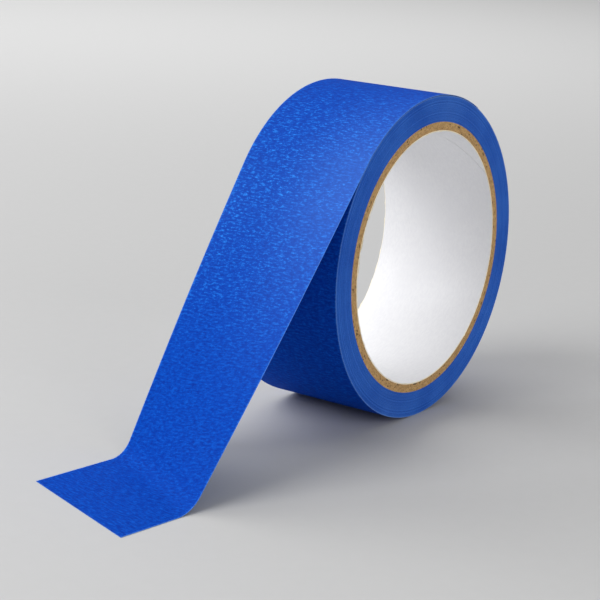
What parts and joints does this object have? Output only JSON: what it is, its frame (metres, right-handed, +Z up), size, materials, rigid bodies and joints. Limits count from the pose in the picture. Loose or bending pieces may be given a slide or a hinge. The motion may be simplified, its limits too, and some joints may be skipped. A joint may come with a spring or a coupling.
{
  "type": "masking tape roll",
  "caption": "Roll of blue crepe masking tape, spiral-wound on a paper core, its lifted end running down as a tail to a flat foot.",
  "frame": {"origin": "middle of the roll's axis, halfway across its width", "axes": "+Y along the roll's axis away from the side that the picture shows, +Z up with the roll standing on its rim, -X the way the tail runs"},
  "size_m": [0.1785, 0.04, 0.0976],
  "materials": {
    "crepe_backing": "satin",
    "adhesive": "gloss",
    "kraft_board": "matte",
    "liner": "satin"
  },
  "bodies": {
    "roll": {"core_liner": "liner", "core_ply_1": "kraft_board", "core_ply_2": "kraft_board", "core_ply_3": "kraft_board", "core_ply_4": "kraft_board", "core_ply_5": "kraft_board", "wound_backing": "crepe_backing", "wound_adhesive": "adhesive"},
    "lifting_strip": {"lifting_backing": "crepe_backing", "lifting_adhesive": "adhesive"},
    "tail": {"tail_backing": "crepe_backing", "tail_adhesive": "adhesive"},
    "foot": {"foot_backing": "crepe_backing", "foot_adhesive": "adhesive"}
  },
  "joints": [
    {"name": "unwind", "type": "hinge", "parent": "roll", "child": "lifting_strip", "pos_m": [0, 0, 0], "axis": [0, 1, 0], "continuous": true},
    {"name": "peel", "type": "hinge", "parent": "lifting_strip", "child": "tail", "pos_m": [-0.03854, 0, 0.03011], "axis": [0, 1, 0], "range_deg": [0, 110]},
    {"name": "crease", "type": "hinge", "parent": "tail", "child": "foot", "pos_m": [-0.10057, 0, -0.04732], "axis": [0, 1, 0], "range_deg": [-52, 60]}
  ]
}
